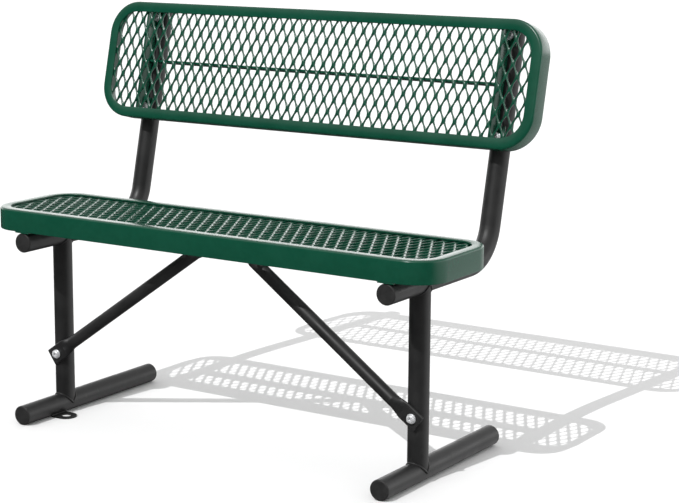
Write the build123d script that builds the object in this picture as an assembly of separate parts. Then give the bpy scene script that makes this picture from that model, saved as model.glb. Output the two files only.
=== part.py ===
from build123d import *
import math
import os

# Park bench with a backrest: two bent-tube side frames, two expanded-metal planks and two diagonal
# braces, all bolted together. Millimetres, +Z up, X along the bench, the sitter faces -Y.
# While it is built, Y = 0 is the axis of the uprights. At the end everything is moved so that the
# origin is on the ground, in the middle of the whole bench.

# ---- side frames ----
tube_od = 42.2               # frame pipe
tube_wall = 2.6
foot_front = 146.0           # foot tube in front of the upright
foot_rear = 303.0            # foot tube behind the upright
seat_tube_front = 130.0      # seat tube in front of the upright
bend_radius = 90.0           # middle line of the bend
cap_rim = 3.0                # thickness of a tube cap outside the tube
cap_plug = 10.0              # how far a cap goes in
cap_round = 2.6

# ---- seat plank ----
seat_height = 470.0
seat_shorter = 3.0           # the seat plank is this much shorter than the back plank
seat_depth = 259.0
seat_front = 133.0           # front edge of the seat in front of the uprights
seat_rim_depth = 46.5
seat_corner = 68.0

# ---- back plank ----
back_length = 1101.0
back_overhang = 98.0         # end of the back plank past the middle of a side frame
back_height = 264.5          # along its slope
back_rim_depth = 41.8
back_corner = 73.0
back_lean = 13.3             # degrees from vertical
back_above_seat = 162.0      # bottom edge of its front face above the top of the seat
back_low_y = 251.5           # the same edge, behind the uprights
post_short = 6.0             # the posts end this far below the top edge of the back

# ---- plank sections, coating included ----
rim_wall = 4.0
flange_width = 23.0
rim_round = 4.5              # outer front edge
rim_lip_round = 1.2          # outer rear edge
mesh_thick = 4.0
mesh_edge_gap = 3.0          # between the mesh and the rim wall
rib_thick = 5.0

# ---- expanded metal ----
mesh_pitch_x = 25.7
mesh_pitch_v = 50.0
seat_mesh_shift = 0.0        # from the middle of the plank to the middle of an opening, across it
back_mesh_shift = 17.0
hole_width = 16.5
hole_height = 35.0
bond_length = 5.0
mesh_border = 9.0            # solid edge strip hidden under the flange

# ---- plank fixings ----
lug_thick = 2.5
lug_width = 36.0
lug_length = 50.0
lug_inset = 0.5              # from the outer face of the rim
fixing_inset = 28.0          # bolt from the outer face of the rim
rib_notch_length = 36.0
rib_notch_height = 12.0
insert_flange = 0.5          # thickness of an insert's flange between a lug and the tube
insert_flange_d = 15.0
insert_body_d = 13.0
insert_bulge_d = 16.5        # crimped collar inside the tube
insert_bulge_length = 5.0
insert_length = 20.0

# ---- braces ----
brace_od = 26.7
brace_wall = 2.3
brace_flat = 6.0             # thickness where the tube is flattened
brace_flat_width = 38.0
brace_slit = 0.8             # what is left of the bore in a flattened end
brace_low_z = 134.5          # lower bolt
brace_top_drop = 36.9        # upper bolt below the top of the seat
brace_top_x = 30.0           # upper bolt from the middle
brace_end = 18.0             # from a bolt to the end of the flat
brace_flat_run = 24.0        # from a bolt to where the flat begins to open out
brace_taper = 30.0

# ---- anchor tabs ----
tab_thick = 3.0
tab_radius = 23.0
tab_hole = 22.0
tab_reach = 34.5             # hole from the axis of the foot tube
tab_front = 39.0             # hole in front of the upright
tab_weld_depth = 12.0        # how near the tab comes to the axis of the foot tube

# ---- fasteners, M10 ----
bolt_d = 10.0
bolt_hole = 11.0
hex_flats = 16.0
head_height = 6.4
nut_height = 8.4
washer_od = 20.0
washer_hole = 10.5
washer_thick = 2.0
button_d = 17.5
button_height = 5.5
button_edge = 3.6
socket_flats = 6.0
socket_depth = 3.4
hex_turned = 0.9             # how much is turned off the corners of a nut or head
bolt_tail = 2.5              # thread past a nut

# ---- worked out from the above ----
tube_r = tube_od / 2
seat_length = back_length - seat_shorter
half_span = back_length / 2 - back_overhang
fixing_stack = lug_thick + insert_flange
seat_tube_z = seat_height - seat_rim_depth - fixing_stack - tube_r
seat_middle_y = seat_depth / 2 - seat_front
back_low_z = seat_height + back_above_seat
brace_top_z = seat_height - brace_top_drop
mesh_under = rim_wall + mesh_thick
post_offset = back_rim_depth + fixing_stack + tube_r
lean = math.radians(back_lean)
brace_low_y = -tube_r - insert_flange - brace_flat / 2
brace_top_y = seat_middle_y - rib_thick / 2 - brace_flat / 2


def back_point(slope, depth):
    """Y and Z of a point up the slope of the back plank and behind its front face."""
    return (
        back_low_y + slope * math.sin(lean) + depth * math.cos(lean),
        back_low_z + slope * math.cos(lean) - depth * math.sin(lean),
    )


# The seat plank lies face up, with X along it and its local Y from front to back.
seat_plane = Plane(origin=(0, seat_middle_y, seat_height), x_dir=(1, 0, 0), z_dir=(0, 0, 1))
# The back plank faces forward and up, with its local Y up the slope.
back_middle = back_point(back_height / 2, 0)
back_plane = Plane(
    origin=(0, back_middle[0], back_middle[1]),
    x_dir=(1, 0, 0),
    z_dir=(0, -math.cos(lean), math.sin(lean)),
)


def rod(start, end, radius, seam=None):
    """Solid cylinder between two points; seam is the side that its seam line lies on."""
    axis = Vector(*end) - Vector(*start)
    return extrude(Plane(origin=start, x_dir=seam, z_dir=axis) * Circle(radius), axis.length)


def pipe(start, end, od, wall, seam=None):
    return rod(start, end, od / 2, seam) - rod(start, end, od / 2 - wall, seam)


def far_circle(shape, plane):
    """The round edge of a shape that stands furthest out from a plane."""
    circles = shape.edges().filter_by(GeomType.CIRCLE)
    return max(circles, key=lambda edge: plane.to_local_coords(edge.center()).Z)


def tube_cap(end, outward):
    """Plug cap with a rounded rim, seated on the end of a frame tube."""
    plane = Plane(origin=end, z_dir=outward)
    rim = extrude(plane * Circle(tube_r), cap_rim)
    rim = fillet(far_circle(rim, plane), cap_round)
    plug = extrude(plane * Circle(tube_r - tube_wall), -cap_plug)
    hollow = extrude(plane.offset(-cap_plug) * Circle(tube_r - 2 * tube_wall), cap_plug - cap_rim)
    return rim + plug - hollow


# ---- fasteners ----
def hex_block(plane, height):
    """Hexagonal prism with its far corners turned off."""
    prism = extrude(plane * RegularPolygon(hex_flats / 2, 6, major_radius=False), height)
    turned = extrude(plane * Circle(hex_flats / math.sqrt(3)), height)
    return prism & chamfer(far_circle(turned, plane), hex_turned)


def hex_bolt(plane, grip):
    """Bolt with its head above the plane and its shank below."""
    shank = extrude(plane * Circle(bolt_d / 2), -(grip + nut_height + bolt_tail))
    return hex_block(plane, head_height) + shank


def button_bolt(plane, reach):
    """Button-headed bolt with a hexagonal socket: head above the plane, shank below."""
    head = extrude(plane * Circle(button_d / 2), button_height)
    head = fillet(far_circle(head, plane), button_edge)
    socket_floor = plane.offset(button_height - socket_depth)
    socket = extrude(socket_floor * RegularPolygon(socket_flats / 2, 6, major_radius=False), button_height)
    return head - socket + extrude(plane * Circle(bolt_d / 2), -reach)


def threaded_insert(plane, near, far):
    """Insert crimped into a pipe: the plane is the top of its flange, near and far are on the pipe's axis."""
    wall_bottom = insert_flange + tube_wall
    flange = extrude(plane * Circle(insert_flange_d / 2), -wall_bottom) - rod(near, far, tube_r)
    body = extrude(plane * Circle(insert_body_d / 2), -insert_length)
    bulge = extrude(plane * Circle(insert_bulge_d / 2), -wall_bottom - insert_bulge_length)
    bulge = bulge & rod(near, far, tube_r - tube_wall)
    return flange + body + bulge - extrude(plane * Circle(bolt_d / 2), -insert_length)


def nut(plane):
    return hex_block(plane, nut_height) - extrude(plane * Circle(bolt_d / 2), nut_height)


def washer(plane):
    return extrude(plane * (Circle(washer_od / 2) - Circle(washer_hole / 2)), washer_thick)


# ---- planks ----
def rounded(length, width, corner, inset):
    return RectangleRounded(length - 2 * inset, width - 2 * inset, corner - inset)


def plank_rim(plane, length, width, corner, depth):
    """Ring with a flat flange in front and a wall all round behind it."""
    block = extrude(plane * rounded(length, width, corner, 0), -depth)
    front_edges = block.faces().sort_by(Axis(plane.origin, plane.z_dir))[-1].edges()
    block = fillet(front_edges, rim_round)
    rear_edges = block.faces().sort_by(Axis(plane.origin, plane.z_dir))[0].edges()
    block = fillet(rear_edges, rim_lip_round)
    behind = plane.offset(-rim_wall)
    hollow = extrude(behind * rounded(length, width, corner, rim_wall), -depth)
    window = extrude(plane * rounded(length, width, corner, flange_width), -depth)
    return block - hollow - window


def diamond():
    """One opening of the expanded metal: pointed ends, blunt sides."""
    side = hole_width / 2
    blunt = bond_length / 2
    tip = hole_height / 2
    return make_face(Polyline(
        (side, -blunt), (side, blunt), (0, tip), (-side, blunt), (-side, -blunt), (0, -tip), close=True
    ))


def mesh_centres(length, width, shift):
    """Middles of the openings that fit whole inside the border, rows staggered by half a pitch."""
    reach_x = length / 2 - mesh_border - hole_width / 2
    reach_v = width / 2 - mesh_border - hole_height / 2
    columns = int(length / mesh_pitch_x) + 2
    rows = int(width / mesh_pitch_v) + 2
    centres = []
    for column in range(-columns, columns + 1):
        for row in range(-rows, rows + 1):
            x = column * mesh_pitch_x / 2
            v = row * mesh_pitch_v / 2 + shift
            if (column + row) % 2 == 0 and abs(x) <= reach_x and abs(v) <= reach_v:
                centres.append((x, v))
    return centres


def plank_mesh(plane, length, width, corner, shift):
    """Expanded-metal sheet against the back of the flange."""
    inset = rim_wall + mesh_edge_gap
    sheet = rounded(length, width, corner, inset)
    inner = corner - inset
    holes = []
    for x, v in mesh_centres(length - 2 * inset, width - 2 * inset, shift):
        corner_x = abs(x) + hole_width / 2 - (length / 2 - corner)
        corner_v = abs(v) + bond_length / 2 - (width / 2 - corner)
        tip_x = abs(x) - (length / 2 - corner)
        tip_v = abs(v) + hole_height / 2 - (width / 2 - corner)
        reach = max(
            math.hypot(max(corner_x, 0), max(corner_v, 0)),
            math.hypot(max(tip_x, 0), max(tip_v, 0)),
        )
        if reach < inner - mesh_border / 2:
            holes.append(Pos(x, v) * diamond())
    outline = sheet.face().outer_wire()
    face = Face(outline, [hole.face().outer_wire() for hole in holes])
    return extrude(plane.offset(-rim_wall) * face, -mesh_thick)


def cross_rib(plane, x, width, depth):
    """Flat bar on edge across a plank, notched over the bolt heads at its two ends."""
    rib_length = width - 2 * rim_wall
    rib_height = depth - mesh_under
    middle = plane * Pos(x, 0, -mesh_under - rib_height / 2)
    rib = middle * Box(rib_thick, rib_length, rib_height)
    for side in (-1, 1):
        notch_v = side * (rib_length - rib_notch_length) / 2
        notch = Pos(0, notch_v, -(rib_height - rib_notch_height) / 2)
        rib -= middle * notch * Box(rib_thick, rib_notch_length, rib_notch_height)
    return rib


def long_stiffener(plane, depth):
    """Flat bar on edge along the middle of a plank, between its two ribs."""
    height = depth - mesh_under
    length = 2 * half_span - rib_thick
    return plane * Pos(0, 0, -mesh_under - height / 2) * Box(length, rib_thick, height)


def seat_stiffener():
    """The seat's long stiffener, drilled for the upper bolts of the braces."""
    bar = long_stiffener(seat_plane, seat_rim_depth)
    for x in (-brace_top_x, brace_top_x):
        front = (x, seat_middle_y - rib_thick, brace_top_z)
        rear = (x, seat_middle_y + rib_thick, brace_top_z)
        bar -= rod(front, rear, bolt_hole / 2)
    return bar


def lug_places(width):
    """Local X and Y of the four plank bolts."""
    reach = width / 2 - fixing_inset
    return [(x, v) for x in (-half_span, half_span) for v in (-reach, reach)]


def plank_lugs(plane, width, depth):
    """Four drilled plates welded behind the rim wall, two over each tube."""
    lugs = []
    for x, v in lug_places(width):
        side = math.copysign(1, v)
        middle_v = side * (width / 2 - lug_inset - lug_length / 2)
        lug = plane * Pos(x, middle_v, -depth - lug_thick / 2) * Box(lug_width, lug_length, lug_thick)
        lugs.append(lug - extrude(plane * Pos(x, v, -depth) * Circle(bolt_hole / 2), -lug_thick))
    return lugs


def plank_fixings(plane, width, depth):
    """Bolts, washers and inserts that hold a plank to the two tubes behind it."""
    bolts, washers, inserts = [], [], []
    for x, v in lug_places(width):
        lug_top = plane * Pos(x, v, -depth) * Plane.XY
        seat = lug_top.offset(-lug_thick)
        near = plane * Pos(x, v - tube_od, -depth - fixing_stack - tube_r) * Plane.XY
        far = plane * Pos(x, v + tube_od, -depth - fixing_stack - tube_r) * Plane.XY
        washers.append(washer(lug_top))
        bolts.append(button_bolt(lug_top.offset(washer_thick), washer_thick + lug_thick + insert_length))
        inserts.append(threaded_insert(seat, near.origin, far.origin))
    return bolts, washers, inserts


# ---- side frames ----
def brace_insert_hole(x):
    return rod((x, -2 * tube_od, brace_low_z), (x, 0, brace_low_z), insert_body_d / 2)


def foot_tube(x):
    return pipe((x, -foot_front + cap_rim, tube_r), (x, foot_rear - cap_rim, tube_r), tube_od, tube_wall)


def foot_caps(x):
    front = tube_cap((x, -foot_front + cap_rim, tube_r), (0, -1, 0))
    rear = tube_cap((x, foot_rear - cap_rim, tube_r), (0, 1, 0))
    return front, rear


def upright(x):
    """Upright coped over the foot tube and under the seat tube, drilled for the brace's insert."""
    # The seam is turned away from the two low corners of each cope, where a cut along it can fail.
    tube = pipe((x, 0, tube_r), (x, 0, seat_tube_z), tube_od, tube_wall, seam=(1, 1, 0))
    tube -= rod((x, -foot_front, tube_r), (x, foot_rear, tube_r), tube_r)
    tube -= rod((x, -foot_front, seat_tube_z), (x, foot_rear, seat_tube_z), tube_r)
    return tube - brace_insert_hole(x)


def post_top():
    """Y and Z of the end of the tube behind the back plank."""
    return back_point(back_height - post_short - cap_rim, post_offset)


def seat_corner_y():
    """Where the lines of the seat tube and the post would cross."""
    y, z = post_top()
    return y - (z - seat_tube_z) * math.tan(lean)


def fixing_holes(x):
    """Cutters for the insert holes of one side frame, through the wall that faces the planks."""
    cutters = []
    for side in (-1, 1):
        y = seat_middle_y + side * (seat_depth / 2 - fixing_inset)
        cutters.append(rod((x, y, seat_tube_z), (x, y, seat_tube_z + tube_od), insert_body_d / 2))
        slope = back_height / 2 + side * (back_height / 2 - fixing_inset)
        axis = back_point(slope, post_offset)
        front = back_point(slope, post_offset - tube_od)
        cutters.append(rod((x, *axis), (x, *front), insert_body_d / 2))
    return cutters


def seat_back_tube(x):
    """One tube that carries the seat, bends upwards and carries the back."""
    front = (x, -seat_tube_front + cap_rim, seat_tube_z)
    corner = (x, seat_corner_y(), seat_tube_z)
    path = FilletPolyline(front, corner, (x, *post_top()), radius=bend_radius)
    start = Plane(origin=front, z_dir=(0, 1, 0))
    outer = sweep(start * Circle(tube_r), path=path)
    bore = sweep(start * Circle(tube_r - tube_wall), path=path)
    tube = outer - bore
    for cutter in fixing_holes(x):
        tube -= cutter
    return tube


def seat_tube_cap(x):
    return tube_cap((x, -seat_tube_front + cap_rim, seat_tube_z), (0, -1, 0))


def post_cap(x):
    return tube_cap((x, *post_top()), (0, math.sin(lean), math.cos(lean)))


def anchor_tab(side):
    """Flat ring-ended plate on the ground, welded to the inner side of a foot tube."""
    foot_x = side * half_span
    hole_x = foot_x - side * tab_reach
    stem_length = tab_reach - tab_weld_depth
    stem = Pos(foot_x - side * (tab_weld_depth + stem_length / 2), -tab_front)
    plan = Pos(hole_x, -tab_front) * Circle(tab_radius) + stem * Rectangle(stem_length, 2 * tab_radius)
    tab = extrude(plan - Pos(hole_x, -tab_front) * Circle(tab_hole / 2), tab_thick)
    return tab - rod((foot_x, -foot_front, tube_r), (foot_x, foot_rear, tube_r), tube_r)


# ---- braces ----
def brace_end_form(bolt, round_face, flat_width, flat_thick):
    """Flattened end of a brace that opens out to its round part; the plane is at the bolt."""
    flat = SlotOverall(flat_width, flat_thick)
    end = extrude(bolt.offset(-brace_end) * flat, brace_end + brace_flat_run)
    return end + loft([bolt.offset(brace_flat_run) * flat, round_face])


def brace_form(low, top, flat_width, flat_thick, radius):
    """Solid of a round bar with two flattened ends; both planes are at the bolts and face each other."""
    opened = brace_flat_run + brace_taper
    # The lower end is pressed flat about its middle, the upper end from the front only.
    to_front = Pos(0, brace_flat / 2 - brace_od / 2, 0)
    low_face = low.offset(opened) * Circle(radius)
    top_face = to_front * (top.offset(opened) * Circle(radius))
    between = top_face.center() - low_face.center()
    round_part = extrude(low_face, amount=between.length, dir=between.normalized())
    low_end = brace_end_form(low, low_face, flat_width, flat_thick)
    return low_end + round_part + brace_end_form(top, top_face, flat_width, flat_thick)


def brace(side):
    """Round tube with both ends flattened, from a side frame up to the stiffener of the seat."""
    low = Vector(side * half_span, brace_low_y, brace_low_z)
    top = Vector(side * brace_top_x, brace_top_y, brace_top_z)
    along = Vector(top.X - low.X, 0, top.Z - low.Z)
    across = along.cross(Vector(0, 1, 0))
    low_plane = Plane(origin=low, x_dir=across, z_dir=along)
    top_plane = Plane(origin=top, x_dir=across, z_dir=-along)
    tube = brace_form(low_plane, top_plane, brace_flat_width, brace_flat, brace_od / 2)
    bore_width = brace_flat_width - brace_flat
    tube -= brace_form(low_plane, top_plane, bore_width, brace_slit, brace_od / 2 - brace_wall)
    for point in (low, top):
        front = (point.X, point.Y - brace_flat, point.Z)
        rear = (point.X, point.Y + brace_flat, point.Z)
        tube -= rod(front, rear, bolt_hole / 2)
    return tube


def brace_low_fixings():
    """Button-headed bolts and washers that hold the braces to inserts in the uprights."""
    bolts, washers, inserts = [], [], []
    for x in (-half_span, half_span):
        front = (x, brace_low_y - brace_flat / 2, brace_low_z)
        seat = (x, brace_low_y + brace_flat / 2, brace_low_z)
        face = Plane(origin=front, x_dir=(1, 0, 0), z_dir=(0, -1, 0))
        on_tube = Plane(origin=seat, x_dir=(1, 0, 0), z_dir=(0, -1, 0))
        washers.append(washer(face))
        bolts.append(button_bolt(face.offset(washer_thick), washer_thick + brace_flat + insert_length))
        low = (x, 0, brace_low_z - tube_od)
        high = (x, 0, brace_low_z + tube_od)
        inserts.append(threaded_insert(on_tube, low, high))
    return bolts, washers, inserts


def brace_top_fixings():
    """Bolts along Y through the braces and the seat's stiffener, with a washer at each end."""
    bolts, washers, nuts = [], [], []
    front = brace_top_y - brace_flat / 2
    rear = brace_top_y + brace_flat / 2 + rib_thick
    for x in (-brace_top_x, brace_top_x):
        face = Plane(origin=(x, front, brace_top_z), x_dir=(1, 0, 0), z_dir=(0, -1, 0))
        seat = Plane(origin=(x, rear, brace_top_z), x_dir=(1, 0, 0), z_dir=(0, 1, 0))
        washers.append(washer(face))
        washers.append(washer(seat))
        bolts.append(hex_bolt(face.offset(washer_thick), brace_flat + rib_thick + 2 * washer_thick))
        nuts.append(nut(seat.offset(washer_thick)))
    return bolts, washers, nuts


# ---- the assembly ----
def side_frame(name, side):
    x = side * half_span
    front_cap, rear_cap = foot_caps(x)
    return {
        f"{name}_foot_tube": foot_tube(x),
        f"{name}_foot_front_cap": front_cap,
        f"{name}_foot_rear_cap": rear_cap,
        f"{name}_upright": upright(x),
        f"{name}_seat_back_tube": seat_back_tube(x),
        f"{name}_seat_tube_cap": seat_tube_cap(x),
        f"{name}_post_cap": post_cap(x),
        f"{name}_anchor_tab": anchor_tab(side),
        f"{name}_brace": brace(side),
    }


def plank(name, plane, length, width, corner, depth, shift):
    bolts, washers, inserts = plank_fixings(plane, width, depth)
    return {
        f"{name}_rim": plank_rim(plane, length, width, corner, depth),
        f"{name}_mesh": plank_mesh(plane, length, width, corner, shift),
        f"{name}_left_rib": cross_rib(plane, -half_span, width, depth),
        f"{name}_right_rib": cross_rib(plane, half_span, width, depth),
        f"{name}_stiffener": long_stiffener(plane, depth),
        f"{name}_lugs": plank_lugs(plane, width, depth),
        f"{name}_bolts": bolts,
        f"{name}_washers": washers,
        f"{name}_inserts": inserts,
    }


def brace_hardware():
    low_bolts, low_washers, low_inserts = brace_low_fixings()
    top_bolts, top_washers, top_nuts = brace_top_fixings()
    return {
        "brace_lower_bolts": low_bolts,
        "brace_lower_washers": low_washers,
        "brace_lower_inserts": low_inserts,
        "brace_upper_bolts": top_bolts,
        "brace_upper_washers": top_washers,
        "brace_upper_nuts": top_nuts,
    }


def bench():
    nodes = {}
    nodes.update(side_frame("left", -1))
    nodes.update(side_frame("right", 1))
    seat_sizes = (seat_length, seat_depth, seat_corner, seat_rim_depth, seat_mesh_shift)
    back_sizes = (back_length, back_height, back_corner, back_rim_depth, back_mesh_shift)
    nodes.update(plank("seat", seat_plane, *seat_sizes))
    nodes.update(plank("back", back_plane, *back_sizes))
    nodes["seat_stiffener"] = seat_stiffener()
    nodes.update(brace_hardware())
    return nodes


os.makedirs("parts", exist_ok=True)
solids = {}
for node, shape in bench().items():
    pieces = shape if isinstance(shape, list) else [shape]
    solids[node] = [solid for piece in pieces for solid in piece.solids()]
whole = Compound([solid for group in solids.values() for solid in group]).bounding_box()
to_middle = Pos(-whole.center().X, -whole.center().Y, -whole.min.Z)
for node, group in solids.items():
    moved = [to_middle * solid for solid in group]
    export_step(moved[0] if len(moved) == 1 else Compound(moved), f"parts/{node}.step")
print("overall size", [round(value, 2) for value in whole.size])
print("moved by", [round(value, 3) for value in to_middle.position])
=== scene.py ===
import math

import bmesh
import bpy
from mathutils import Matrix, Vector


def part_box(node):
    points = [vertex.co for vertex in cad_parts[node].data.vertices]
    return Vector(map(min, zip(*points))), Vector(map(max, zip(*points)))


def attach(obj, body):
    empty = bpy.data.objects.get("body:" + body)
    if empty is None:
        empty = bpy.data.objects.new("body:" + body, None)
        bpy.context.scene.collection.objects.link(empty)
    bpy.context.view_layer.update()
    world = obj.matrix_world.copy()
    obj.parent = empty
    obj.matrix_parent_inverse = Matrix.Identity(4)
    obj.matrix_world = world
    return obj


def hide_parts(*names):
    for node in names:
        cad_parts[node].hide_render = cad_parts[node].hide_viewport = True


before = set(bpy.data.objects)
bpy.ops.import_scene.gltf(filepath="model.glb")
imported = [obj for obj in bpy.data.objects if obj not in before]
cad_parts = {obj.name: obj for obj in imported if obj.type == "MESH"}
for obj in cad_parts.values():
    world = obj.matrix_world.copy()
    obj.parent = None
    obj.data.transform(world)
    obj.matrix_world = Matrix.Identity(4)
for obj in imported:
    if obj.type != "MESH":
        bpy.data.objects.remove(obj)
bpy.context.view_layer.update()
print("frame loaded:", len(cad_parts), "nodes")

mm = 0.001
mergeWithin = 0.01 * mm


# A socket that takes part in plain arithmetic: each operation adds a Math node.
class Wire:
    def __init__(self, paint, socket):
        self.paint = paint
        self.socket = socket

    def math(self, operation, first, second):
        return self.paint.node("ShaderNodeMath", {"operation": operation}, {0: first, 1: second})

    def __add__(self, other):
        return self.math("ADD", self, other)

    def __radd__(self, other):
        return self.math("ADD", other, self)

    def __sub__(self, other):
        return self.math("SUBTRACT", self, other)

    def __rsub__(self, other):
        return self.math("SUBTRACT", other, self)

    def __mul__(self, other):
        return self.math("MULTIPLY", self, other)

    def __rmul__(self, other):
        return self.math("MULTIPLY", other, self)


# The nodes of a material or of the world, and the few ways that they are added.
class Paint:
    def __init__(self, owner, shaderName, placeOutput):
        owner.use_nodes = True
        self.owner = owner
        self.tree = owner.node_tree
        self.shader = self.tree.nodes[shaderName]
        self.place = self.node("ShaderNodeTexCoord", {}, {}, placeOutput)

    def put(self, socket, value):
        if isinstance(value, Wire):
            self.tree.links.new(value.socket, socket)
        else:
            socket.default_value = value

    def node(self, kind, settings, inputs, output=0):
        made = self.tree.nodes.new(kind)
        for name, value in settings.items():
            setattr(made, name, value)
        for name, value in inputs.items():
            self.put(made.inputs[name], value)
        return Wire(self, made.outputs[output])

    def noise(self, size, detail, rough):
        values = {"Vector": self.place, "Scale": 1 / size, "Detail": detail, "Roughness": rough}
        return self.node("ShaderNodeTexNoise", {}, values)

    # A random number for each cell of this size.
    def cells(self, size):
        values = {"Vector": self.place, "Scale": 1 / size}
        return self.axis(self.node("ShaderNodeTexVoronoi", {}, values, "Color"), "X")

    # From low to high becomes first to last, held at the ends.
    def ramp(self, value, low, high, first=0.0, last=1.0):
        values = {"Value": value, "From Min": low, "From Max": high, "To Min": first, "To Max": last}
        return self.node("ShaderNodeMapRange", {"interpolation_type": "SMOOTHSTEP"}, values)

    def colours(self, mask, first, second):
        return self.node("ShaderNodeMix", {"data_type": "RGBA"}, {0: mask, 6: first, 7: second}, 2)

    def axis(self, vector, letter):
        return self.node("ShaderNodeSeparateXYZ", {}, {0: vector}, letter)

    def along(self, direction):
        settings = {"operation": "DOT_PRODUCT"}
        return self.node("ShaderNodeVectorMath", settings, {0: self.place, 1: direction}, "Value")

    def bump(self, height, distance):
        return self.node("ShaderNodeBump", {}, {"Height": height, "Distance": distance})

    # Sets the shader's own sockets, by their names with _ for each space.
    def finish(self, **values):
        for socket, value in values.items():
            self.put(self.shader.inputs[socket.replace("_", " ")], value)
        return self.owner


def newPaint(name):
    return Paint(bpy.data.materials.new(name), "Principled BSDF", "Object")


# Two masks mixed, with this share of the second.
def blend(first, second, share):
    return first * (1 - share) + second * share


# In the finishes a noise is its size, detail and roughness, and an edge is where a ramp starts and ends.
greenCoat = {
    "ior": 1.45, "roughness": 0.22, "patchRoughness": 0.05, "dustRoughness": 0.25,
    "deep": (0.0012, 0.052, 0.0275, 1), "full": (0.0020, 0.060, 0.0325, 1), "dust": (0.16, 0.20, 0.17, 1),
    "patches": (70 * mm, 3.0, 0.55), "flow": (9 * mm, 2.0, 0.5), "flowShare": 0.3,
    "colourEdge": (0.35, 0.65), "glossEdge": (0.3, 0.7), "upwardEdge": (0.35, 0.95),
    "dustLeast": 0.03, "dustSpeckle": 0.10, "speckle": (1.1 * mm, 3.0, 0.65), "speckleEdge": (0.50, 0.78),
    "peel": (3.2 * mm, 1.5, 0.4), "fine": (0.5 * mm, 2.0, 0.5), "fineShare": 0.1, "peelDepth": 0.10 * mm,
}


def makeGreenCoat():
    g = greenCoat
    paint = newPaint("greenPlastisol")
    patches = paint.noise(*g["patches"])
    mottle = blend(patches, paint.noise(*g["flow"]), g["flowShare"])
    coat = paint.colours(paint.ramp(mottle, *g["colourEdge"]), g["deep"], g["full"])
    # Fine dust settles on what faces up, unevenly.
    facing = paint.axis(paint.node("ShaderNodeNewGeometry", {}, {}, "Normal"), "Z")
    speckle = paint.ramp(paint.noise(*g["speckle"]), *g["speckleEdge"])
    dust = paint.ramp(facing, *g["upwardEdge"]) * (g["dustLeast"] + g["dustSpeckle"] * speckle)
    uneven = g["patchRoughness"] * paint.ramp(patches, *g["glossEdge"])
    surface = blend(paint.noise(*g["peel"]), paint.noise(*g["fine"]), g["fineShare"])
    return paint.finish(IOR=g["ior"], Base_Color=paint.colours(dust, coat, g["dust"]),
                        Roughness=g["roughness"] + uneven + g["dustRoughness"] * dust,
                        Normal=paint.bump(surface, g["peelDepth"]))


powderCoat = {
    "ior": 1.4, "roughness": 0.40, "patchRoughness": 0.10, "scuffRoughness": 0.5,
    "base": (0.0115, 0.0115, 0.0118, 1), "pale": (0.0185, 0.0185, 0.0185, 1),
    "patches": (60 * mm, 4.0, 0.6), "grain": (0.9 * mm, 2.0, 0.6), "grainShare": 0.4,
    "colourEdge": (0.38, 0.62), "glossEdge": (0.35, 0.65),
    "peel": (2.6 * mm, 1.0, 0.4), "peelDepth": 0.05 * mm,
    "scuff": (0.10, 0.097, 0.09, 1), "scuffHeight": 110 * mm, "scuffMost": 0.30,
    "marks": (14 * mm, 5.0, 0.7), "marksEdge": (0.56, 0.72),
}


def makePowderCoat():
    p = powderCoat
    paint = newPaint("charcoalPowderCoat")
    patches = paint.noise(*p["patches"])
    grain = paint.noise(*p["grain"])
    mottle = blend(patches, grain, p["grainShare"])
    coat = paint.colours(paint.ramp(mottle, *p["colourEdge"]), p["base"], p["pale"])
    # Grit and shoe marks near the ground.
    low = 1 - paint.ramp(paint.axis(paint.place, "Z"), 0.0, p["scuffHeight"])
    scuffs = low * paint.ramp(paint.noise(*p["marks"]), *p["marksEdge"]) * p["scuffMost"]
    uneven = p["patchRoughness"] * paint.ramp(patches, *p["glossEdge"])
    surface = blend(paint.noise(*p["peel"]), grain, p["grainShare"])
    return paint.finish(IOR=p["ior"], Base_Color=paint.colours(scuffs, coat, p["scuff"]),
                        Roughness=p["roughness"] + uneven + p["scuffRoughness"] * scuffs,
                        Normal=paint.bump(surface, p["peelDepth"]))


capPlastic = {
    "ior": 1.4, "roughness": 0.46, "cloudRoughness": 0.14,
    "dark": (0.014, 0.014, 0.014, 1), "pale": (0.021, 0.021, 0.021, 1),
    "clouds": (16 * mm, 3.0, 0.6), "colourEdge": (0.35, 0.65),
    "grain": (0.45 * mm, 2.0, 0.6), "grainDepth": 0.035 * mm,
}


def makeCapPlastic():
    c = capPlastic
    paint = newPaint("charcoalCapPlastic")
    clouds = paint.noise(*c["clouds"])
    colour = paint.colours(paint.ramp(clouds, *c["colourEdge"]), c["dark"], c["pale"])
    return paint.finish(IOR=c["ior"], Base_Color=colour,
                        Roughness=c["roughness"] + c["cloudRoughness"] * clouds,
                        Normal=paint.bump(paint.noise(*c["grain"]), c["grainDepth"]))


zincPlating = {
    "metallic": 0.55, "roughness": 0.24, "spangleRoughness": 0.14, "bloomRoughness": 0.25,
    "dark": (0.66, 0.67, 0.69, 1), "bright": (0.93, 0.94, 0.95, 1), "bloom": (0.70, 0.70, 0.68, 1),
    "spangle": 2.6 * mm, "brushed": (0.35 * mm, 3.0, 0.6), "brushedShare": 0.3,
    "patches": (5 * mm, 4.0, 0.6), "patchesEdge": (0.56, 0.75), "bloomMost": 0.35, "depth": 0.02 * mm,
}


def makeZinc():
    z = zincPlating
    paint = newPaint("brightZinc")
    spangle = paint.cells(z["spangle"])
    brushed = paint.noise(*z["brushed"])
    metal = paint.colours(blend(spangle, brushed, z["brushedShare"]), z["dark"], z["bright"])
    # A little white bloom in patches.
    bloom = paint.ramp(paint.noise(*z["patches"]), *z["patchesEdge"])
    uneven = z["spangleRoughness"] * spangle + z["bloomRoughness"] * bloom
    return paint.finish(Metallic=z["metallic"],
                        Base_Color=paint.colours(bloom * z["bloomMost"], metal, z["bloom"]),
                        Roughness=z["roughness"] + uneven,
                        Normal=paint.bump(blend(brushed, spangle, z["brushedShare"]), z["depth"]))


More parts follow.
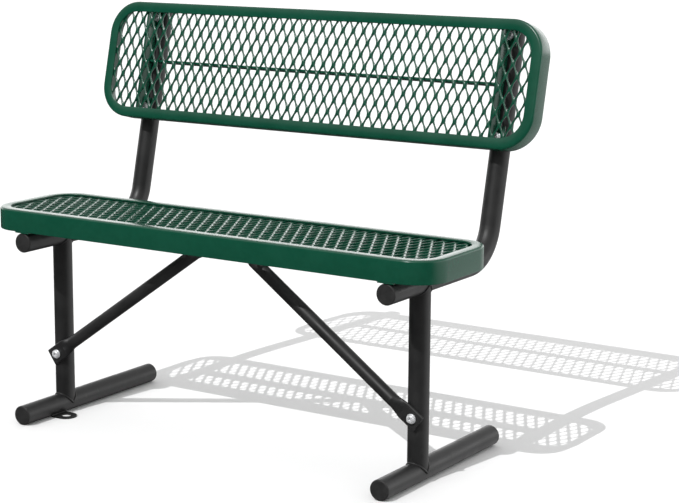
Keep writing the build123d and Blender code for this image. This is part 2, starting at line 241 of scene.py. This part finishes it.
finishes = {
    "plank_coating": makeGreenCoat(),
    "frame_coating": makePowderCoat(),
    "tube_caps": makeCapPlastic(),
    "zinc_hardware": makeZinc(),
}
print("finishes made:", len(finishes))


# Edges that turn by more than sharpFrom stay crisp in the shading.
def makePiece(name, shape, slotName, sharpFrom):
    mesh = bpy.data.meshes.new(name)
    shape.to_mesh(mesh)
    shape.free()
    mesh.shade_smooth()
    mesh.set_sharp_from_angle(angle=sharpFrom)
    mesh.materials.append(finishes[slotName])
    piece = bpy.data.objects.new(name, mesh)
    bpy.context.scene.collection.objects.link(piece)
    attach(piece, "root")
    return piece


def boxMiddle(node):
    low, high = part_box(node)
    return (low + high) / 2


def everything(shape):
    return shape.verts[:] + shape.edges[:] + shape.faces[:]


backLean = math.radians(13.3)
# barMiddle is how far the middle of the long stiffener lies behind the plank's face, and meshShift is where
# the middle opening of the metal lies.
seatPlank = {
    "name": "seat", "length": 1098 * mm, "width": 259 * mm, "corner": 68 * mm, "depth": 46.5 * mm,
    "across": Vector((0, 1, 0)), "face": Vector((0, 0, 1)), "barMiddle": 27.25 * mm,
    "meshShift": Vector((0, 0, 0)),
}
backPlank = {
    "name": "back", "length": 1101 * mm, "width": 264.5 * mm, "corner": 73 * mm, "depth": 41.8 * mm,
    "across": Vector((0, math.sin(backLean), math.cos(backLean))),
    "face": Vector((0, -math.cos(backLean), math.sin(backLean))), "barMiddle": 24.9 * mm,
    "meshShift": Vector((0, 17 * mm, 0)),
}


# Local X is along the plank, local Y across it, and local Z out of its face, with the face at 0.
def plankPlace(plank):
    middle = boxMiddle(plank["name"] + "_stiffener") + plank["face"] * plank["barMiddle"]
    turn = Matrix((Vector((1, 0, 0)), plank["across"], plank["face"])).transposed().to_4x4()
    return Matrix.Translation(middle) @ turn


# Each round is its size and its number of segments.
rimShape = {
    "flange": 23 * mm, "wall": 4 * mm, "cornerSteps": 20, "sharpFrom": math.radians(60),
    "rounds": {
        "outer": (4.5 * mm, 6), "flangeLip": (1.7 * mm, 3),
        "inside": (2.0 * mm, 3), "rearLip": (1.6 * mm, 3),
    },
}


def roundCorner(shape, spot, kind):
    size, segments = rimShape["rounds"][kind]
    corner = min(shape.verts, key=lambda vertex: (vertex.co - spot).length)
    bmesh.ops.bevel(shape, geom=[corner], offset=size, offset_type="OFFSET", segments=segments, profile=0.5,
                    affect="VERTICES", material=-1)


# The new section of the rim: its vertices, and the edges between them.
def freshSection(made):
    verts = {item for item in made if isinstance(item, bmesh.types.BMVert)}
    edges = [item for item in made if isinstance(item, bmesh.types.BMEdge) and verts.issuperset(item.verts)]
    return verts, edges


# Carries the open section on in a straight line, and gives its new edges.
def runOn(shape, edges, step):
    verts, edges = freshSection(bmesh.ops.extrude_edge_only(shape, edges=edges)["geom"])
    bmesh.ops.translate(shape, verts=list(verts), vec=step)
    return edges


# Carries it on round a corner.
def turnOn(shape, edges, centre):
    verts = list({vertex for edge in edges for vertex in edge.verts})
    last = bmesh.ops.spin(shape, geom=verts + edges, cent=centre, axis=(0, 0, 1), angle=math.pi / 2,
                          steps=rimShape["cornerSteps"], use_merge=False, use_duplicate=False)["geom_last"]
    return freshSection(last)[1]


def makeRim(plank):
    flange, wall, depth = rimShape["flange"], rimShape["wall"], plank["depth"]
    halfWidth = plank["width"] / 2
    shape = bmesh.new()
    # Section of the rim at the middle of the near side: inset from the edge, and depth behind the face.
    section = [
        (0, 0, "outer"), (flange, 0, "flangeLip"), (flange, wall, "flangeLip"),
        (wall, wall, "inside"), (wall, depth, "rearLip"), (0, depth, "rearLip"),
    ]
    spots = [(Vector((0, -halfWidth + inset, -behind)), kind) for inset, behind, kind in section]
    shape.faces.new([shape.verts.new(spot) for spot, kind in spots])
    for spot, kind in spots:
        roundCorner(shape, spot, kind)
    bmesh.ops.delete(shape, geom=shape.faces[:], context="FACES_ONLY")
    edges = shape.edges[:]
    straightX, straightY = plank["length"] / 2 - plank["corner"], halfWidth - plank["corner"]
    path = [
        (Vector((straightX, 0, 0)), (straightX, -straightY, 0)),
        (Vector((0, 2 * straightY, 0)), (straightX, straightY, 0)),
        (Vector((-2 * straightX, 0, 0)), (-straightX, straightY, 0)),
        (Vector((0, -2 * straightY, 0)), (-straightX, -straightY, 0)),
    ]
    for run, centre in path:
        edges = runOn(shape, edges, run)
        edges = turnOn(shape, edges, centre)
    runOn(shape, edges, Vector((straightX, 0, 0)))
    bmesh.ops.remove_doubles(shape, verts=shape.verts[:], dist=mergeWithin)
    bmesh.ops.recalc_face_normals(shape, faces=shape.faces[:])
    shape.transform(plankPlace(plank))
    piece = makePiece(plank["name"] + "RolledRim", shape, "plank_coating", rimShape["sharpFrom"])
    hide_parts(plank["name"] + "_rim")


# One opening of the metal: side and tip are how far it reaches from its middle along and across the plank,
# blunt is half the flat at its side, tipHalf and tipDrop shape its pointed ends, and bow is how far its
# slopes bulge. The strands' outer points lie on the line between cells, at slopeShare from its two ends.
expandedMetal = {
    "pitchX": 25.7 * mm, "pitchY": 50 * mm, "side": 9.1 * mm, "tip": 19.6 * mm, "blunt": 2.4 * mm,
    "tipHalf": 1.3 * mm, "tipDrop": 1.1 * mm, "bow": 1.3 * mm, "slopeShare": 0.19, "twist": 0.9 * mm,
    "thick": 5.6 * mm, "round": 1.1 * mm, "middle": 7.0 * mm, "inset": 7 * mm, "cornerCuts": 6,
    "mergeWithin": 0.02 * mm, "cutWithin": 0.001 * mm, "sharpFrom": math.radians(75),
}


# A quarter of the metal round one opening, mirrored to the whole.
def makeCell(shape):
    e = expandedMetal
    side, tip, blunt = e["side"], e["tip"], e["blunt"]
    halfX, halfY = e["pitchX"] / 2, e["pitchY"] / 2

    def corner(x, y):
        return shape.verts.new((x, y, 0))

    def onEdge(share):
        return corner(halfX * (1 - share), halfY * share)

    pairs = [
        (corner(halfX, 0), corner(side, 0)),
        (onEdge(e["slopeShare"]), corner(side, blunt)),
        (onEdge(0.5), corner(side / 2 + e["bow"], (blunt + tip) / 2)),
        (onEdge(1 - e["slopeShare"]), corner(e["tipHalf"], tip - e["tipDrop"])),
        (corner(0, halfY), corner(0, tip)),
    ]
    for (outer, inner), (nextOuter, nextInner) in zip(pairs, pairs[1:]):
        shape.faces.new((inner, outer, nextOuter, nextInner))
    for axis in ("X", "Y"):
        bmesh.ops.mirror(shape, geom=everything(shape), merge_dist=mergeWithin, axis=axis)
    bmesh.ops.recalc_face_normals(shape, faces=shape.faces[:])
    # Slitting and stretching leaves one side of each opening high and the other low. The cell's outline,
    # where this sum is 1, stays level.
    nearOutline = 0.97
    for vertex in shape.verts:
        if abs(vertex.co.x) / halfX + abs(vertex.co.y) / halfY < nearOutline:
            vertex.co.z = e["twist"] * vertex.co.x / side


# A second cell in the gap beside the first, and the two of them laid out over more than the sheet.
def layCells(shape, halfLength, halfWidth, shift):
    stepX, stepY = expandedMetal["pitchX"], expandedMetal["pitchY"]
    columns, rows = math.ceil(halfLength / stepX) + 1, math.ceil(halfWidth / stepY) + 1
    made = bmesh.ops.duplicate(shape, geom=everything(shape))["geom"]
    bmesh.ops.translate(shape, verts=[item for item in made if isinstance(item, bmesh.types.BMVert)],
                        vec=(stepX / 2, stepY / 2, 0))
    start = shift + Vector((-columns * stepX, -rows * stepY, 0))
    bmesh.ops.translate(shape, verts=shape.verts[:], vec=start)
    for step, count in (((stepX, 0, 0), 2 * columns), ((0, stepY, 0), 2 * rows)):
        bmesh.ops.spin(shape, geom=everything(shape), dvec=step, angle=0, axis=(0, 0, 1), steps=count,
                       use_merge=False, use_duplicate=True)
    bmesh.ops.remove_doubles(shape, verts=shape.verts[:], dist=expandedMetal["mergeWithin"])


def trimToOutline(shape, halfLength, halfWidth, corner):
    cuts = expandedMetal["cornerCuts"]
    for turn in range(4 * cuts + 4):
        # Four straight sides, and a few cuts round each corner.
        quarter, step = divmod(turn, cuts + 1)
        angle = (quarter + step / (cuts + 1)) * math.pi / 2
        outward = Vector((math.cos(angle), math.sin(angle), 0))
        centreX = math.copysign(halfLength - corner, outward.x)
        centreY = math.copysign(halfWidth - corner, outward.y)
        bmesh.ops.bisect_plane(shape, geom=everything(shape), dist=expandedMetal["cutWithin"],
                               plane_co=Vector((centreX, centreY, 0)) + outward * corner, plane_no=outward,
                               clear_outer=True)


# An edge between a strand's flat and its side wall: it turns by more than leastTurn, in radians.
def isStrandEdge(edge):
    leastTurn, flatFrom = 1.0, 0.7
    if len(edge.link_faces) != 2 or edge.calc_face_angle() <= leastTurn:
        return False
    first, second = [abs(face.normal.z) > flatFrom for face in edge.link_faces]
    return first != second


def makeExpandedMetal(plank):
    e = expandedMetal
    halfLength, halfWidth = plank["length"] / 2 - e["inset"], plank["width"] / 2 - e["inset"]
    shape = bmesh.new()
    makeCell(shape)
    layCells(shape, halfLength, halfWidth, plank["meshShift"])
    trimToOutline(shape, halfLength, halfWidth, plank["corner"] - e["inset"])
    bmesh.ops.recalc_face_normals(shape, faces=shape.faces[:])
    bmesh.ops.solidify(shape, geom=shape.faces[:], thickness=e["thick"])
    bmesh.ops.recalc_face_normals(shape, faces=shape.faces[:])
    rounded = [edge for edge in shape.edges if isStrandEdge(edge)]
    bmesh.ops.bevel(shape, geom=rounded, offset=e["round"], offset_type="OFFSET", segments=1, profile=0.5,
                    affect="EDGES", clamp_overlap=True, material=-1)
    heights = [vertex.co.z for vertex in shape.verts]
    shift = -e["middle"] - (max(heights) + min(heights)) / 2
    bmesh.ops.translate(shape, verts=shape.verts[:], vec=(0, 0, shift))
    bmesh.ops.recalc_face_normals(shape, faces=shape.faces[:])
    loose = sum(1 for edge in shape.edges if len(edge.link_faces) != 2)
    print(plank["name"], "expanded metal:", len(shape.faces), "faces,", loose, "open edges")
    shape.transform(plankPlace(plank))
    piece = makePiece(plank["name"] + "ExpandedMetal", shape, "plank_coating", e["sharpFrom"])
    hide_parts(plank["name"] + "_mesh")


for plank in (seatPlank, backPlank):
    makeRim(plank)
    makeExpandedMetal(plank)
print("planks made")


# Bars and plates of the planks, rounded by their coating. Edges from cornerFrom, in radians, are rounded.
coatedBars = {
    "round": 1.1 * mm, "lugRound": 0.7 * mm, "segments": 3, "cornerFrom": 0.9,
    "flatWithin": math.radians(1), "sharpFrom": math.radians(50),
}


def makeCoatedBar(node, size):
    c = coatedBars
    shape = bmesh.new()
    shape.from_mesh(bpy.data.objects[node].data)
    bmesh.ops.remove_doubles(shape, verts=shape.verts[:], dist=mergeWithin)
    bmesh.ops.dissolve_limit(shape, angle_limit=c["flatWithin"], verts=shape.verts[:], edges=shape.edges[:])
    corners = [edge for edge in shape.edges
               if len(edge.link_faces) == 2 and edge.calc_face_angle() > c["cornerFrom"]]
    bmesh.ops.bevel(shape, geom=corners, offset=size, offset_type="OFFSET", segments=c["segments"],
                    profile=0.5, affect="EDGES", clamp_overlap=True, material=-1)
    piece = makePiece(node.replace("_", "-") + "-coated", shape, "plank_coating", c["sharpFrom"])
    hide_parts(node)


for plank in (seatPlank, backPlank):
    for bar in ("_left_rib", "_right_rib", "_stiffener"):
        makeCoatedBar(plank["name"] + bar, coatedBars["round"])
    makeCoatedBar(plank["name"] + "_lugs", coatedBars["lugRound"])
print("bars made")


# ripple is the share by which the bead swells and thins along its length.
weldBead = {
    "radius": 2.4 * mm, "tabRadius": 2.2 * mm, "offTube": 0.4 * mm, "ripple": 0.13, "ripplePitch": 3.2 * mm,
    "steps": 120, "tabSteps": 40, "roundness": 2, "sharpFrom": math.radians(60),
}


# A rippled bead along a closed or open line of points.
def makeBead(name, spots, closed, radius):
    line = bpy.data.curves.new(name, "CURVE")
    line.dimensions = "3D"
    line.bevel_depth = radius
    line.bevel_resolution = weldBead["roundness"]
    line.use_fill_caps = True
    spline = line.splines.new("POLY")
    spline.points.add(len(spots) - 1)
    travelled = 0.0
    for index, spot in enumerate(spots):
        if index:
            travelled += (spot - spots[index - 1]).length
        spline.points[index].co = (*spot, 1)
        wave = math.sin(travelled / weldBead["ripplePitch"] * 2 * math.pi)
        spline.points[index].radius = 1 + weldBead["ripple"] * wave
    spline.use_cyclic_u = closed
    holder = bpy.data.objects.new(name + "Line", line)
    mesh = bpy.data.meshes.new_from_object(holder)
    bpy.data.objects.remove(holder)
    bpy.data.curves.remove(line)
    shape = bmesh.new()
    shape.from_mesh(mesh)
    bpy.data.meshes.remove(mesh)
    makePiece(name, shape, "frame_coating", weldBead["sharpFrom"])


# Where an upright meets a tube of its own size that runs front to back, above or below it.
def saddle(post, tubeZ, radius, upward):
    spots = []
    for index in range(weldBead["steps"]):
        turn = 2 * math.pi * index / weldBead["steps"]
        x, y = radius * math.cos(turn), radius * math.sin(turn)
        spots.append(Vector((post.x + x, post.y + y, tubeZ + upward * abs(y))))
    return spots


def makeWelds(side):
    w = weldBead
    low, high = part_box(side + "_upright")
    post = (low + high) / 2
    tubeRadius = (high.x - low.x) / 2
    foot = boxMiddle(side + "_foot_tube")
    seatTube = boxMiddle(side + "_seat_tube_cap")
    ring = tubeRadius + w["offTube"]
    makeBead(side + "FootWeld", saddle(post, foot.z, ring, 1), True, w["radius"])
    makeBead(side + "SeatTubeWeld", saddle(post, seatTube.z, ring, -1), True, w["radius"])
    # The anchor tab is welded along the foot tube's inner flank, at the height of the tab's top.
    tabLow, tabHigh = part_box(side + "_anchor_tab")
    reach = math.sqrt(tubeRadius ** 2 - (foot.z - tabHigh.z) ** 2)
    start = Vector((foot.x - math.copysign(reach, foot.x), tabLow.y, tabHigh.z))
    step = Vector((0, (tabHigh.y - tabLow.y) / w["tabSteps"], 0))
    run = [start + step * index for index in range(w["tabSteps"] + 1)]
    makeBead(side + "TabWeld", run, False, w["tabRadius"])


for side in ("left", "right"):
    makeWelds(side)
print("weld beads made")


# Every node that stays gets the finish of its own slot.
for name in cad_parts:
    for place in bpy.data.objects[name].material_slots:
        slotName = place.material.name.split(".")[0]
        if slotName in finishes:
            place.material = finishes[slotName]
print("frame nodes finished")


studioFloor = {
    "size": 60.0, "roughness": 0.9, "level": 0.86, "grainDarker": 0.99, "grain": (40 * mm, 3.0, 0.5),
}


def makeFloor():
    f = studioFloor
    shape = bmesh.new()
    bmesh.ops.create_grid(shape, x_segments=1, y_segments=1, size=f["size"] / 2)
    mesh = bpy.data.meshes.new("studioFloor")
    shape.to_mesh(mesh)
    shape.free()
    paint = newPaint("studioFloorPaint")
    pale, darker = [(level, level, level, 1) for level in (f["level"], f["level"] * f["grainDarker"])]
    colour = paint.colours(paint.noise(*f["grain"]), pale, darker)
    mesh.materials.append(paint.finish(Base_Color=colour, Roughness=f["roughness"]))
    floor = bpy.data.objects.new("studioFloor", mesh)
    bpy.context.scene.collection.objects.link(floor)
    # The floor lights the bench but isn't mirrored in its gloss.
    floor.visible_glossy = False


# Levels of light by direction. An edge is the span over which one level gives way to the next, in the height
# of the direction, or in how far it points at the panel or to the back.
studioRoom = {
    "high": 0.82, "backLow": 2.6, "dark": 0.05, "panelLevel": 0.92, "panel": (0.58, 0.81, 0),
    "horizonEdge": (-0.03, 0.03), "backEdge": (0.144, 0.36), "frontEdge": (0.28, 0.37),
    "frontToBackEdge": (-0.25, 0.15), "panelEdge": (0.35, 0.85),
}


# Bright high up and low along the back, dark low in front, and dark below the horizon except on the panel.
def makeWorld():
    s = studioRoom
    world = bpy.data.worlds.new("studioRoom")
    bpy.context.scene.world = world
    room = Paint(world, "Background", "Generated")
    height = room.along((0, 0, 1))
    below = room.ramp(room.along(s["panel"]), *s["panelEdge"], s["dark"], s["panelLevel"])
    behind = room.ramp(height, *s["backEdge"], s["backLow"], s["high"])
    before = room.ramp(height, *s["frontEdge"], s["dark"], s["high"])
    above = room.ramp(room.along((0, 1, 0)), *s["frontToBackEdge"], before, behind)
    room.finish(Color=(1, 1, 1, 1), Strength=room.ramp(height, *s["horizonEdge"], below, above))


studioSun = {
    "strength": 2.3, "angle": math.radians(0.22), "travel": (0.12285, 1.0012, -1.0), "place": (-1, -3, 3),
}


def makeSun():
    light = bpy.data.lights.new("studioSun", "SUN")
    light.energy = studioSun["strength"]
    light.angle = studioSun["angle"]
    sun = bpy.data.objects.new("studioSun", light)
    sun.location = studioSun["place"]
    sun.rotation_euler = Vector(studioSun["travel"]).to_track_quat("-Z", "Y").to_euler()
    bpy.context.scene.collection.objects.link(sun)


# The offset is from the floor under the middle of the bench, level with the uprights.
studioCamera = {
    "offset": Vector((2.2394, -3.1031, 1.1638)),
    "azimuth": math.radians(34.48), "elevation": math.radians(10.89),
    "sensorWidth": 36, "focalLength": 100.4204, "shiftX": 0.0977, "shiftY": -0.012, "clipEnd": 200,
}


def makeCamera():
    c = studioCamera
    lens = bpy.data.cameras.new("studioCamera")
    lens.sensor_width = c["sensorWidth"]
    lens.lens = c["focalLength"]
    lens.shift_x = c["shiftX"]
    lens.shift_y = c["shiftY"]
    lens.clip_end = c["clipEnd"]
    camera = bpy.data.objects.new("studioCamera", lens)
    camera.location = Vector((0, boxMiddle("right_upright").y, 0)) + c["offset"]
    camera.rotation_euler = (math.pi / 2 - c["elevation"], 0, c["azimuth"])
    bpy.context.scene.collection.objects.link(camera)
    bpy.context.scene.camera = camera


makeFloor()
makeWorld()
makeSun()
makeCamera()
bpy.context.scene.view_settings.view_transform = "Standard"
print("studio made")
